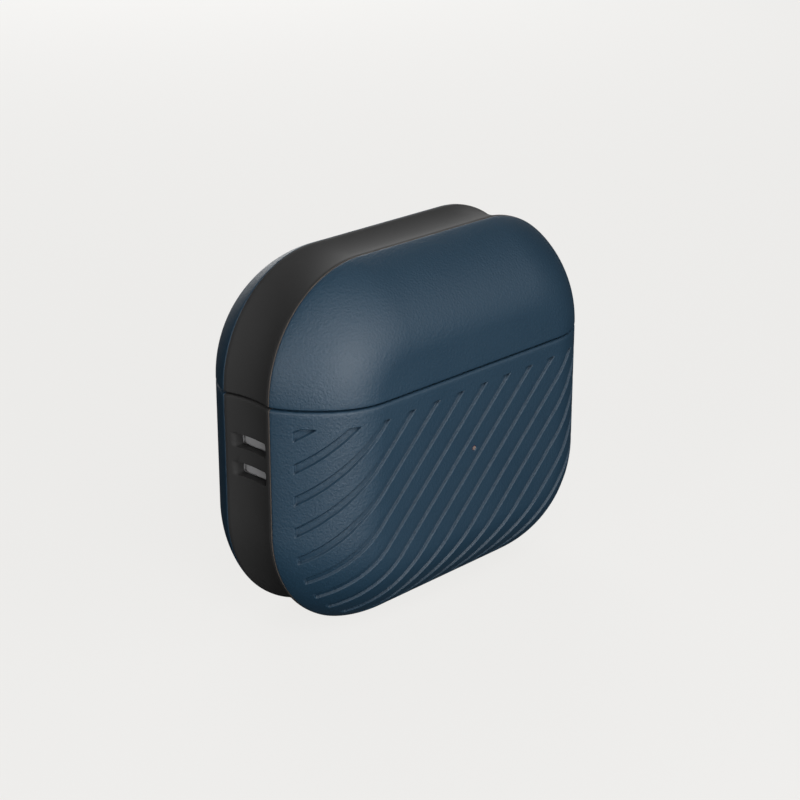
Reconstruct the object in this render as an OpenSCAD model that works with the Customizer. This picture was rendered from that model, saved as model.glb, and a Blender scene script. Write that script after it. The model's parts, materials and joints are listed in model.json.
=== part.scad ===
// Wireless earbuds case: a pillow-shaped charging case with a hinged lid.
// Row frame in millimetres: X across the case, -Y towards the front, Z up from the resting face.

/* [Case] */
// Width of the closed case
case_w = 58; // [54:0.5:62]
// Height of the closed case
case_h = 51; // [49:0.5:54]
// Thickness of the closed case, front to back
case_d = 27.2; // [26.4:0.2:29]
// Radius of the four big corners, seen from the front
corner_r = 16.5; // [16:0.25:17]
// Gap between the lid and the base along the seam
seam_gap = 0.3; // [0.2:0.05:0.5]

/* [Band] */
// Width of the dark band that runs round the edge
band_w = 8.6; // [8:0.2:9.4]
// Depth of the hollow along the middle of the band
band_dish = 0.55; // [0.3:0.05:0.7]
// Width of the flat lip at each side of the band
band_lip = 0.5; // [0.3:0.1:0.8]
// Wall of the band at its lips
band_t = 1.8; // [1.6:0.1:1.8]

/* [Shells] */
// Wall of the coloured front and back shells
shell_t = 1.4; // [1.2:0.1:1.4]
// How far in from the outline the shells go on curving
edge_run = 11.5; // [11:0.25:12.5]
// Fullness of the edge curve: 1 is lean, 2 is a quarter ellipse
edge_power = 1.25; // [1.1:0.05:1.6]

/* [Grooves] */
// Distance from one groove to the next, along X
groove_pitch = 4.7; // [4:0.1:6]
// Width of a groove, across it
groove_w = 1; // [0.6:0.1:1.4]
// Depth of a groove
groove_deep = 0.4; // [0.2:0.05:0.5]
// Slope of the grooves, up to the right
groove_slope = 43.5; // [35:0.5:55]
// Margin from the outline to the ends of the grooves
groove_margin = 1.5; // [1:0.1:3]
// Plain strip between the seam and the grooves
groove_headroom = 2.45; // [1.5:0.05:4]

/* [Lanyard] */
// Length of each lanyard slot, across the band
slot_l = 6.4; // [5:0.2:6.8]
// Height of each lanyard slot
slot_h = 1.9; // [1.4:0.1:2.4]
// Height of the bar between the two slots
bar_h = 2.1; // [1.6:0.1:3]
// Wall of the band round the slots, at its lips
slot_wall = 1.4; // [1.2:0.1:1.6]

/* [Bud wells] */
// Distance from the centre plane to each well
well_x = 12.5; // [12:0.1:13]
// Bore that takes an earbud's stem
stem_r = 3.5; // [3:0.1:3.7]
// Radius of the seat for an earbud's head, at its rim
bowl_r = 8.6; // [7.5:0.1:9]

/* [Hidden] */

$fn = 64;
half_w = case_w / 2;
half_d = case_d / 2;
band_y = band_w / 2;           // the band's half width
dome = half_d - band_y;        // how far a shell stands out past the band
core_x = half_w - corner_r;    // the corners' axes stand at plus and minus this
core_lo = corner_r;            // height of the lower corners' axes
core_hi = case_h - corner_r;   // height of the upper corners' axes
lid_z = core_hi;               // the lid's lower edge
base_z = lid_z - seam_gap;     // the base's upper edge
seam_z = (lid_z + base_z) / 2;
fit = 0.05;                    // assembly clearance, a side
steps = 12;                    // flats along a shell's edge curve

// Walls, counted in from the outline (run) and from the front face (deep)
house_in = band_t + 0.1;
house_deep = shell_t + 0.1;
wall = 1.2;
room_in = house_in + wall;
room_deep = house_deep + wall;
room_y = half_d - room_deep;   // half depth of the room inside
floor_z = room_in;              // top of the room's floor

// Hinge, at the back
knuckle_r = 0.95;
hinge_y = half_d - knuckle_r - fit;
hinge_half = 9;                // half length of the barrel
leaf_t = 0.45;
leaf_y = hinge_y - knuckle_r;  // inner face of both leaves
leaf_far = 5;                  // how far the leaves reach from the axis
leaf_near = 1.2;
relief = 51;                   // half angle of the V that the lid swings through
pin_r = 0.35;
knuckles_base = [[-9, -5.4], [-1.8, 1.8], [5.4, 9]];
knuckles_lid = [[-5.3, -1.9], [1.9, 5.3]];
base_screw_x = 7;
lid_screw_x = 3.6;
leaf_screw_z = 3.4;            // height of the leaf screws above or below the axis

// Screws
screw_r = 0.45;
head_r = 0.8;

// Bud wells and the deck round them
deck_top = base_z - 0.2;
deck_t = 1.2;
well_wall = 0.8;
bowl_z = 26;                   // the stem bore ends here and the bowl starts
bore_z = 10;                   // floor of the stem bore
contact_r = 0.7;
contact_y = 1.6;

// Pairing button
button_z = 22;
cap_r = 2.4;
flange_r = 3;
cap_t = 0.75;
stem_tip = 9.4;                // the button's stem ends just short of its switch

// Status light
light_z = 23;
tip_r = 0.28;
pipe_r = 0.85;

// Charging port
port_w = 8.94;
port_h = 3.16;
port_z = 0.9;
port_l = 7.3;
port_wall = 0.3;

// Boards and battery
board_y = 6.6;
board_t = 0.8;
screw_spots = [[-15.5, 12], [15.5, 12], [-15.5, 23], [15.5, 23]];
flex_z = 8.4;
flex_t = 0.3;
battery = [15.6, 12, 15.9];
battery_at = [0, -1.9, 17.95];

// Lanyard slots
slot_mid = 26.1;               // height of the bar between the slots
slot_corner = 0.35;            // radius of the slots' corners
pocket_x = -half_w + 2.05;     // crown of the curved wall that the strap passes in front of
pocket_r = 15;                 // radius of that wall

// ---- Profiles, drawn as [distance from a corner's axis, y] ----

// Points of a shell's edge curve, set in by run_in at the rim and by deep_in at the face
function edge_curve(run_in, deep_in) = [
  for (i = [0 : steps])
    let (a = 90 * i / steps)
      [corner_r - edge_run + (edge_run - run_in) * cos(a),
       band_y + (dome - deep_in) * pow(sin(a), 2 / edge_power)]
];

function flip(points) = [for (p = points) [p[0], -p[1]]];
function reversed(points) = [for (i = [len(points) - 1 : -1 : 0]) points[i]];

// One side's skin, between two depths
module skin_profile(out_run, out_deep, in_run, in_deep) {
  polygon(concat(
    edge_curve(out_run, out_deep),
    [[0, half_d - out_deep], [0, half_d - in_deep]],
    reversed(edge_curve(in_run, in_deep))));
}

// A wall all the way round the room, open at the corner's axis
module housing_profile() {
  outer = concat(
    [[0, -(half_d - house_deep)]], reversed(flip(edge_curve(house_in, house_deep))),
    edge_curve(house_in, house_deep), [[0, half_d - house_deep]]);
  inner = concat(
    [[0, room_y]], reversed(edge_curve(room_in, room_deep)),
    flip(edge_curve(room_in, room_deep)), [[0, -room_y]]);
  polygon(concat(outer, inner));
}

module band_profile() {
  reach = band_y - band_lip;
  arc_r = (reach * reach + band_dish * band_dish) / (2 * band_dish);
  difference() {
    translate([corner_r - band_t, -band_y]) square([band_t, band_w]);
    translate([corner_r - band_dish + arc_r, 0]) circle(arc_r, $fn = 360);
  }
}

// ---- Sweeps of a profile along the case's outline ----

// A quarter turn round a corner's axis; turn 0 is lower right, then clockwise seen from the front
module corner_sweep(x, z, turn) {
  translate([x, 0, z]) rotate([-90, 0, 0]) rotate([0, 0, turn]) rotate_extrude(angle = 90) children();
}

module base_sweep(top) {
  corner_sweep(core_x, core_lo, 0) children();
  corner_sweep(-core_x, core_lo, 90) children();
  translate([-core_x, 0, core_lo]) rotate([0, 90, 0]) linear_extrude(2 * core_x) children();
  for (side = [0, 1]) mirror([side, 0, 0])
    translate([core_x, 0, core_lo]) linear_extrude(top - core_lo) children();
}

module lid_sweep() {
  corner_sweep(core_x, core_hi, -90) children();
  corner_sweep(-core_x, core_hi, 180) children();
  translate([core_x, 0, core_hi]) rotate([0, -90, 0]) linear_extrude(2 * core_x) children();
}

// A box given by its centre
module block(size, at) {
  translate(at) cube(size, center = true);
}

// A round bar along Y, from y1 to y2
module rod_y(r, x, z, y1, y2) {
  translate([x, y2, z]) rotate([90, 0, 0]) cylinder(r = r, h = y2 - y1);
}

// A round bar along X
module rod_x(r, x1, x2, y, z) {
  translate([x1, y, z]) rotate([0, 90, 0]) cylinder(r = r, h = x2 - x1);
}

// A stadium-shaped prism standing on z = 0, its length along X
module stadium(length, width, height) {
  linear_extrude(height) {
    square([length - width, width], center = true);
    for (side = [-1, 1]) translate([side * (length - width) / 2, 0]) circle(width / 2);
  }
}

// ---- Cuts for the hinge ----

// The V behind the axis that the swinging lid needs; up is 1 in the lid and -1 in the base
module hinge_relief(up) {
  reach = 4;
  translate([-half_w, hinge_y, seam_z]) rotate([90, 0, 90]) linear_extrude(case_w)
    polygon([[0, 0], [reach, 0], [reach, up * reach * tan(relief)]]);
}

module barrel_room() {
  rod_x(knuckle_r + 0.2, -hinge_half - 0.2, hinge_half + 0.2, hinge_y, seam_z);
}

// The pocket that a leaf lies in, from the axis to its far edge
module leaf_pocket(up, half_length) {
  far = leaf_far + 0.1;
  block([2 * half_length + 0.4, leaf_t + fit + 1, far],
    [0, leaf_y - fit + (leaf_t + fit + 1) / 2, seam_z + up * far / 2]);
}

// ---- Base: shells and band ----

// The front skin of the base between two depths, with its flat middle
module front_skin(out, in) {
  mirror([0, 1, 0]) {
    base_sweep(base_z) skin_profile(out, out, in, in);
    translate([-core_x, half_d - in, core_lo])
      cube([2 * core_x, in - out, base_z - core_lo]);
  }
}

// Straight slots across the front, cut off along the margin and the top of the pattern
module groove_cutters() {
  first = 2.55;                // right edge of the middle groove, at the top of the pattern
  span = 90;                   // longer than any groove
  top = seam_z - groove_headroom;
  before = 5;                  // grooves left of the middle one, counted along the top
  after = 11;
  intersection() {
    front_skin(-0.6, groove_deep);
    translate([0, 0, core_lo]) rotate([90, 0, 0]) linear_extrude(half_d + 1)
      union() {
        square([2 * (half_w - groove_margin), 2 * (top - core_lo)], center = true);
        for (side = [-1, 1]) translate([side * core_x, 0]) circle(corner_r - groove_margin);
        square([2 * core_x, 2 * (corner_r - groove_margin)], center = true);
      }
    for (k = [-before : after])
      translate([first + k * groove_pitch, 0, top])
        rotate([0, -groove_slope, 0])
          translate([-span, -half_d - 1, 0]) cube([2 * span, half_d + 1, groove_w]);
  }
}

module base_front_shell() {
  color("#24405a")
    difference() {
      front_skin(0, shell_t);
      groove_cutters();
      rod_y(tip_r + 0.02, 0, light_z, -half_d - 1, 0);
    }
}

module base_back_shell() {
  color("#24405a")
    difference() {
      mirror([0, 1, 0]) front_skin(0, shell_t);
      hinge_relief(-1);
      barrel_room();
      rod_y(cap_r + 0.1, 0, button_z, 0, half_d + 1);
      rod_y(flange_r + 0.2, 0, button_z, 0, half_d - 0.8);
    }
}

module lid_front_shell() {
  color("#24405a") mirror([0, 1, 0]) lid_sweep() skin_profile(0, 0, shell_t, shell_t);
}

module lid_back_shell() {
  color("#24405a")
    difference() {
      lid_sweep() skin_profile(0, 0, shell_t, shell_t);
      hinge_relief(1);
      barrel_room();
    }
}

// A plate with rounded corners, standing on z = 0
module rounded_plate(length, width, r, height) {
  linear_extrude(height) {
    square([length - 2 * r, width], center = true);
    square([length, width - 2 * r], center = true);
    for (x = [-1, 1], y = [-1, 1]) translate([x * (length / 2 - r), y * (width / 2 - r)]) circle(r);
  }
}

module lanyard_slots(depth) {
  for (side = [-1, 1])
    translate([-half_w - 1, 0, slot_mid + side * (bar_h + slot_h) / 2])
      rotate([0, 90, 0]) rotate([0, 0, 90]) rounded_plate(slot_l, slot_h, slot_corner, depth + 1);
}

// The space behind the bar, where the strap turns, as far in as reach
module lanyard_room(grow, reach) {
  width = slot_l + 2 * grow;
  height = 2 * slot_h + bar_h + 2 * grow;
  block([reach, width, height], [-half_w + slot_wall + reach / 2, 0, slot_mid]);
}

// That space in the housing, with its crowned wall
module lanyard_pocket() {
  difference() {
    lanyard_room(0.1, 1.2);
    translate([pocket_x + pocket_r, 0, 0]) cylinder(r = pocket_r, h = case_h, $fn = 360);
  }
}

module base_band() {
  color("#2b2b2b")
    difference() {
      base_sweep(base_z) band_profile();
      lanyard_slots(band_t + 1);
      lanyard_room(0.4, 1);
      translate([0, 0, -1]) stadium(10.2, 4.4, 4);
    }
}

module lid_band() {
  color("#2b2b2b") lid_sweep() band_profile();
}

// ---- Base: housing, deck and wells ----

module base_housing() {
  top = base_z - 0.1;
  boss_r = 1.5;
  color("#b9bbbd")
    difference() {
      union() {
        base_sweep(top) housing_profile();
        for (side = [-1, 1])
          translate([-core_x, side > 0 ? room_y : -room_y - wall, core_lo])
            cube([2 * core_x, wall, top - core_lo]);
        for (s = screw_spots) rod_y(boss_r, s[0], s[1], board_y + board_t, room_y + wall / 2);
      }
      for (s = screw_spots) rod_y(screw_r + fit, s[0], s[1], 0, 9.8);
      barrel_room();
      leaf_pocket(-1, hinge_half);
      for (side = [-1, 1])
        rod_y(screw_r + fit, side * base_screw_x, seam_z - leaf_screw_z, room_y - 1, half_d);
      rod_y(1.2, 0, button_z, 0, half_d);
      rod_y(flange_r + 0.2, 0, button_z, half_d - house_deep - 0.35, half_d);
      rod_y(pipe_r + fit, 0, light_z, -half_d, 0);
      translate([0, 0, -1]) stadium(port_w + 0.26, port_h + 0.26, floor_z + 2);
      lanyard_pocket();
    }
}

// A plate that fills the room's section, less a clearance
module room_plate(clear, z, thick) {
  back_right = [for (p = edge_curve(room_in + clear, room_deep + clear)) p + [core_x, 0]];
  back_left = [for (p = reversed(back_right)) [-p[0], p[1]]];
  translate([0, 0, z]) linear_extrude(thick)
    polygon(concat(back_right, back_left, flip(reversed(back_left)), flip(reversed(back_right))));
}

module tray_deck() {
  color("#d9dadb")
    difference() {
      room_plate(fit, deck_top - deck_t, deck_t);
      for (side = [-1, 1])
        translate([side * well_x, 0, deck_top - deck_t - 1]) cylinder(r = bowl_r + well_wall + fit, h = 4);
    }
}

// Quarter-ellipse wall of a bowl, from the stem bore up to the rim
function bowl_curve(grow, n = 10) = [
  for (i = [0 : n])
    let (a = 90 * i / n)
      [stem_r + grow + (bowl_r - stem_r) * sin(a), deck_top - (deck_top - bowl_z) * cos(a)]
];

module bud_well(x) {
  color("#e4e5e6")
    translate([x, 0, 0])
      difference() {
        rotate_extrude() polygon(concat(
          [[0, bore_z], [stem_r, bore_z]], bowl_curve(0),
          reversed(bowl_curve(well_wall)),
          [[stem_r + well_wall, bore_z - 1], [0, bore_z - 1]]));
        for (side = [-1, 1])
          translate([0, side * contact_y, bore_z - 2]) cylinder(r = contact_r + fit, h = 3);
      }
}

module charge_contacts() {
  color("#c9a24a")
    for (x = [-well_x, well_x], y = [-contact_y, contact_y])
      translate([x, y, flex_z + flex_t]) cylinder(r = contact_r, h = bore_z - flex_z - flex_t - fit);
}

module contact_flex() {
  color("#b0772a")
    translate([0, 0, flex_z])
      linear_extrude(flex_t) {
        square([2 * well_x + 6, 5], center = true);
        translate([-1.5, -10]) square([3, 16.4]);
      }
}

module stem_magnets() {
  color("#9a9da0")
    for (side = [-1, 1])
      block([2.5, 3, 6], [side * (well_x + stem_r + well_wall + fit + 1.25), 0, 17]);
}

module base_magnets() {
  color("#9a9da0")
    for (side = [-1, 1])
      translate([side * 2.2, -7.8, deck_top - deck_t - 2.5]) cylinder(r = 1.5, h = 2.5);
}

// ---- Base: battery and boards ----

module battery_cell() {
  step = 1;                    // the sealed seams' step, along the top
  color("#7d8288")
    difference() {
      block(battery, battery_at);
      for (side = [-1, 1])
        block([battery[0] + 1, 2 * step, 2 * step],
          battery_at + [0, side * battery[1] / 2, battery[2] / 2]);
    }
}

module battery_pad() {
  front = battery_at[1] - battery[1] / 2;
  thick = 1.6;
  color("#3b3b3d") block([13, thick, 11], [0, front - fit - thick / 2, 16.5]);
}

// The battery's lead, over the top of the cell's step and back to the board
module battery_lead() {
  back = battery_at[1] + battery[1] / 2;
  color("#b0772a") block([4, board_y - back - 0.1, flex_t], [-3, (back + board_y) / 2, 22.6]);
}

module main_board() {
  color("#1d5a38")
    difference() {
      block([37, board_t, 17], [0, board_y + board_t / 2, 17.5]);
      for (s = screw_spots) rod_y(screw_r + fit, s[0], s[1], board_y - 1, board_y + 2);
    }
}

module board_chips() {
  color("#26282b") {
    block([6, 1, 6], [-8, board_y - 0.5, 15]);
    block([4, 0.9, 4], [7, board_y - 0.45, 19]);
    block([3, 0.8, 2], [11, board_y - 0.4, 12.5]);
    for (i = [0 : 4]) block([1, 0.6, 0.5], [-1 + i * 1.4, board_y - 0.3, 11.5]);
  }
}

module board_screws() {
  color("#8d9093")
    for (s = screw_spots) {
      rod_y(head_r + 0.1, s[0], s[1], board_y - 0.6, board_y);
      rod_y(screw_r, s[0], s[1], board_y, 9.6);
    }
}

module pairing_switch() {
  back = board_y + board_t;
  color("#4a4d50") {
    block([3.2, 1.5, 3.2], [0, back + 0.75, button_z]);
    rod_y(0.8, 0, button_z, back + 1.5, back + 1.65);
  }
}

// A flat ring that faces Y
module ring_y(outer, inner, z, y1, y2) {
  difference() {
    rod_y(outer, 0, z, y1, y2);
    rod_y(inner, 0, z, y1 - 1, y2 + 1);
  }
}

module charging_coil() {
  turns = 8;
  pitch = 0.7;
  color("#b5652c")
    for (i = [0 : turns - 1])
      ring_y(10 - i * pitch, 10 - i * pitch - 0.55, button_z, room_y - 1, room_y - 0.2);
}

module coil_shield() {
  color("#3f4144") ring_y(10.6, 3.2, button_z, room_y - 1.6, room_y - 1.1);
}

// ---- Base: charging port ----

module port_receptacle() {
  color("#a9acaf")
    translate([0, 0, port_z])
      difference() {
        stadium(port_w, port_h, port_l);
        translate([0, 0, -1]) stadium(port_w - 2 * port_wall, port_h - 2 * port_wall, port_l);
      }
}

module port_tongue() {
  color("#1c1c1e") block([6.7, 0.7, 5.2], [0, 0, port_z + port_l - 1 - 2.6]);
}

module port_board() {
  color("#1d5a38") block([14, 0.6, 4.6], [0, 2, 5.7]);
}

module port_flex() {
  color("#b0772a") block([5, board_y + board_t - 2.4, flex_t], [6, (board_y + board_t + 2.4) / 2, 7.4]);
}

module port_seal() {
  color("#202022")
    translate([0, 0, port_z])
      difference() {
        stadium(10.1, 4.3, 0.95);
        translate([0, 0, -1]) stadium(port_w + 0.1, port_h + 0.1, 4);
      }
}

// ---- Base: status light ----

module status_light_pipe() {
  color("#e9dcc8") {
    rod_y(tip_r, 0, light_z, -half_d + 0.03, -half_d + shell_t + 0.05);
    rod_y(pipe_r, 0, light_z, -half_d + shell_t + 0.05, -room_y + 0.2);
  }
}

module status_led() {
  color("#f4efe2") block([1.6, 0.6, 0.8], [0, -room_y + 0.55, light_z]);
}

module led_flex() {
  color("#b0772a") block([3, 0.15, 15.6], [0, -room_y + 0.95, 16.6]);
}

// ---- Hinge ----

// A leaf with its knuckles; up is 1 for the lid's and -1 for the base's
module leaf(up, spans, half_length, screw_x) {
  color("#8f9294")
    difference() {
      union() {
        block([2 * half_length, leaf_t, leaf_far - leaf_near],
          [0, leaf_y + leaf_t / 2, seam_z + up * (leaf_far + leaf_near) / 2]);
        for (s = spans) {
          rod_x(knuckle_r, s[0], s[1], hinge_y, seam_z);
          block([s[1] - s[0], leaf_t, leaf_near],
            [(s[0] + s[1]) / 2, leaf_y + leaf_t / 2, seam_z + up * leaf_near / 2]);
        }
      }
      rod_x(pin_r + 0.03, -half_length - 1, half_length + 1, hinge_y, seam_z);
      for (side = [-1, 1])
        rod_y(head_r + 0.02, side * screw_x, seam_z + up * leaf_screw_z, 0, half_d);
    }
}

module hinge_base_leaf() {
  leaf(-1, knuckles_base, hinge_half, base_screw_x);
}

module hinge_lid_leaf() {
  leaf(1, knuckles_lid, 5.3, lid_screw_x);
}

module hinge_pin() {
  color("#b4b7ba") rod_x(pin_r, -hinge_half, hinge_half, hinge_y, seam_z);
}

module hinge_screws(up, x) {
  color("#b4b7ba")
    for (side = [-1, 1]) {
      rod_y(head_r, side * x, seam_z + up * leaf_screw_z, leaf_y, leaf_y + leaf_t);
      rod_y(screw_r, side * x, seam_z + up * leaf_screw_z, room_y - 0.3, leaf_y);
    }
}

module base_hinge_screws() {
  hinge_screws(-1, base_screw_x);
}

module lid_hinge_screws() {
  hinge_screws(1, lid_screw_x);
}

// ---- Pairing button ----

module pairing_button() {
  cap_back = half_d - 0.1;
  color("#24405a") {
    rod_y(cap_r, 0, button_z, cap_back - cap_t, cap_back);
    rod_y(flange_r, 0, button_z, half_d - shell_t + fit, cap_back - cap_t);
    rod_y(1.1, 0, button_z, stem_tip, half_d - shell_t + fit);
  }
}

// ---- Lid ----

module lid_housing() {
  color("#b9bbbd")
    difference() {
      lid_sweep() housing_profile();
      barrel_room();
      hinge_relief(1);
      leaf_pocket(1, 5.3);
      for (side = [-1, 1])
        rod_y(screw_r + fit, side * lid_screw_x, seam_z + leaf_screw_z, room_y - 1, half_d);
    }
}

// Half-ellipse wall over an earbud's head
function dome_curve(r, top, n = 12) = [
  for (i = [0 : n])
    let (a = 90 * i / n)
      [r * cos(a), lid_z + 0.1 + (top - lid_z - 0.1) * sin(a)]
];

module lid_insert() {
  dome_top = 45;
  color("#e4e5e6") {
    difference() {
      room_plate(0.2, lid_z + 0.1, 1.2);
      for (side = [-1, 1])
        translate([side * well_x, 0, lid_z - 1]) cylinder(r = bowl_r + well_wall / 2, h = 4);
    }
    for (side = [-1, 1])
      translate([side * well_x, 0, 0])
        rotate_extrude() polygon(concat(
          dome_curve(bowl_r, dome_top), reversed(dome_curve(bowl_r + well_wall, dome_top + well_wall))));
  }
}

module lid_magnets() {
  color("#9a9da0")
    for (side = [-1, 1])
      translate([side * 2.2, -7.8, lid_z + 1.3]) cylinder(r = 1.5, h = 2.5);
}

base_front_shell();
base_back_shell();
base_band();
base_housing();
tray_deck();
bud_well(-well_x);  // left_bud_well
bud_well(well_x);  // right_bud_well
charge_contacts();
contact_flex();
stem_magnets();
base_magnets();
battery_cell();
battery_pad();
battery_lead();
main_board();
board_chips();
board_screws();
pairing_switch();
charging_coil();
coil_shield();
port_receptacle();
port_tongue();
port_board();
port_flex();
port_seal();
status_light_pipe();
status_led();
led_flex();
hinge_base_leaf();
hinge_pin();
base_hinge_screws();
pairing_button();
lid_front_shell();
lid_back_shell();
lid_band();
lid_housing();
lid_insert();
lid_magnets();
hinge_lid_leaf();
lid_hinge_screws();
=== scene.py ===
"""The looks of the wireless earbuds case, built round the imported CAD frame.

Shapes are worked out in millimetres, in the frame's own axes (X across the case, -Y to the front, Z up),
and turned into metres where a mesh is made.
"""

import json
import math

import bmesh
import bpy
import numpy as np
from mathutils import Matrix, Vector, geometry

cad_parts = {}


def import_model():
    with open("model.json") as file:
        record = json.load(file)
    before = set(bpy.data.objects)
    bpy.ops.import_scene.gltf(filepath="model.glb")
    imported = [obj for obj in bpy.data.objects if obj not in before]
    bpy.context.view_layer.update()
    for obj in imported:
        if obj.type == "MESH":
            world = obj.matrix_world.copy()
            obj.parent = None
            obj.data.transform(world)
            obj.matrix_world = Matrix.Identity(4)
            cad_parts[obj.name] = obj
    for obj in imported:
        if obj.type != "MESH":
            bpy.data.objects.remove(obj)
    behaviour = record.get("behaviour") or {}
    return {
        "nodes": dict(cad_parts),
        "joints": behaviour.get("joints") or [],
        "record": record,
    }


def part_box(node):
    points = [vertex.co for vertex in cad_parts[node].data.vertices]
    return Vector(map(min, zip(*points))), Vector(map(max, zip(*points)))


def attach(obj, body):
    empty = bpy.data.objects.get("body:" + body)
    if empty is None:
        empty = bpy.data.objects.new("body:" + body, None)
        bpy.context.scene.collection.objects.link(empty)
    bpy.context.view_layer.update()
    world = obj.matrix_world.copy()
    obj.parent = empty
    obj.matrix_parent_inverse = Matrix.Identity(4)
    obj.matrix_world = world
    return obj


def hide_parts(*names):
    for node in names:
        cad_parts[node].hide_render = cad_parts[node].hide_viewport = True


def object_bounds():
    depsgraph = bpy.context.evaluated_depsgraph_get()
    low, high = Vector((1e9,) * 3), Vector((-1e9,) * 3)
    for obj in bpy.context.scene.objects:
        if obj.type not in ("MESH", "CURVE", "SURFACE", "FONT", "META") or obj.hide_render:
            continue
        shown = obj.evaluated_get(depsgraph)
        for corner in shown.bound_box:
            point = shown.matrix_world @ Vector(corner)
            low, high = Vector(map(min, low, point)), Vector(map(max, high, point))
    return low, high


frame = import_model()
cad_low, cad_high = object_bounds()

MM = 0.001


def node_box(name):
    """Lowest and highest corner of a CAD node, in millimetres."""
    low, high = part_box(name)
    return low / MM, high / MM


# ---- Sizes, from the frame ----

HALF_W = cad_high.x / MM
HALF_D = cad_high.y / MM
HEIGHT = cad_high.z / MM
BAND_Y = node_box("base_band")[1].y
BASE_TOP = node_box("base_front_shell")[1].z
LID_BOTTOM = node_box("lid_front_shell")[0].z
SEAM_Z = (BASE_TOP + LID_BOTTOM) / 2
HINGE = Vector(next(j for j in frame["joints"] if j["name"] == "lid_hinge")["pos_m"]) / MM
BUTTON_Z = sum(c.z for c in node_box("pairing_button")) / 2
LIGHT_Z = sum(c.z for c in node_box("status_light_pipe")) / 2
DECK_LOW, DECK_HIGH = (c.z for c in node_box("tray_deck"))
WELL_X = sum(c.x for c in node_box("right_bud_well")) / 2
WELL_RIM_R = (node_box("right_bud_well")[1].x - node_box("right_bud_well")[0].x) / 2

# ---- Sizes that the CAD source shares ----

CORNER_R = 16.5  # the big corners, seen from the front
SHELL_T = 1.4
BAND_T = 1.8
BAND_DISH = 0.55
BAND_LIP = 0.5
EDGE_RUN = 11.5  # how far in from the outline a shell goes on curving
EDGE_POWER = 0.8  # fullness of that curve
GROOVE_PITCH = 4.7  # along X
GROOVE_W = 1.0
GROOVE_DEEP = 0.34
GROOVE_SLOPE = math.radians(43.5)
GROOVE_MARGIN = 1.5  # from the outline to the grooves' outer ends
GROOVE_TOP = SEAM_Z - 2.45
GROOVE_FIRST_X = 2.55  # where the middle groove's edge meets the top of the pattern
SLOT_L = 6.4
SLOT_H = 1.9
BAR_H = 2.1
SLOT_MID_Z = 26.1
SLOT_CORNER = 0.35
SLOT_BACK = 0.4  # the slots' back ends lean in by this much, behind a wide round
SLOT_ROUND = 0.16
PORT_L = 10.2
PORT_H = 4.4
PORT_ROUND = 0.2
CAP_R = 2.4
CAP_ROOM = 0.1  # between the button's cap and its hole
FLANGE_R = 3.0
RELIEF = math.radians(51)  # angle of the V behind the hinge
KNUCKLE_R = 0.95
HINGE_HALF = 9.0
HINGE_ROOM = 0.2
LIGHT_R = 0.3
ROOM_RUN = 3.1  # from the case's outline to the housing's room, and from the face to it
ROOM_DEEP = 2.7
PIN_HOLE_R = 0.75
PIN_HOLE_Y = 1.6  # how far the charge contacts' holes are off the well's axis
STEM_R = 3.5
WELL_WALL = 0.8
BOWL_Z = 26.0
BORE_Z = 10.0

CORE_X = HALF_W - CORNER_R
DOME = HALF_D - BAND_Y

# ---- Small rounds that only the eye needs ----

BASE_SEAM_ROUND = 0.42
LID_SEAM_ROUND = 0.14
RIM_ROUND = 0.12
RIM_STEPS = 4


# ---- The case's outer surface ----


def edge_height(e):
    """How far from the middle plane a shell's surface is, at distance e in from the outline."""
    t = np.clip(np.asarray(e, float) / EDGE_RUN, 0, 1)
    return BAND_Y + DOME * (1 - (1 - t) ** 2) ** EDGE_POWER


def edge_slope(e):
    """Components (towards the outline, away from the middle plane) of the surface's unit normal."""
    theta = np.arccos(np.clip(1 - np.asarray(e, float) / EDGE_RUN, 0, 1))
    run = EDGE_RUN * np.sin(theta)
    rise = DOME * 2 * EDGE_POWER * np.sin(theta) ** (2 * EDGE_POWER - 1) * np.cos(theta)
    size = np.maximum(np.hypot(run, rise), 1e-9)
    out, up = rise / size, run / size
    return np.where(theta < 1e-4, 1.0, out), np.where(theta < 1e-4, 0.0, up)


STRAIGHTS, TURNS, FLATS = 14, 48, 24  # steps down a straight side, round a corner and across the middle
LEAD_STEPS = 5  # steps round the seam's edge
LEAD_FLAT = 0.4  # one more step past it


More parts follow.
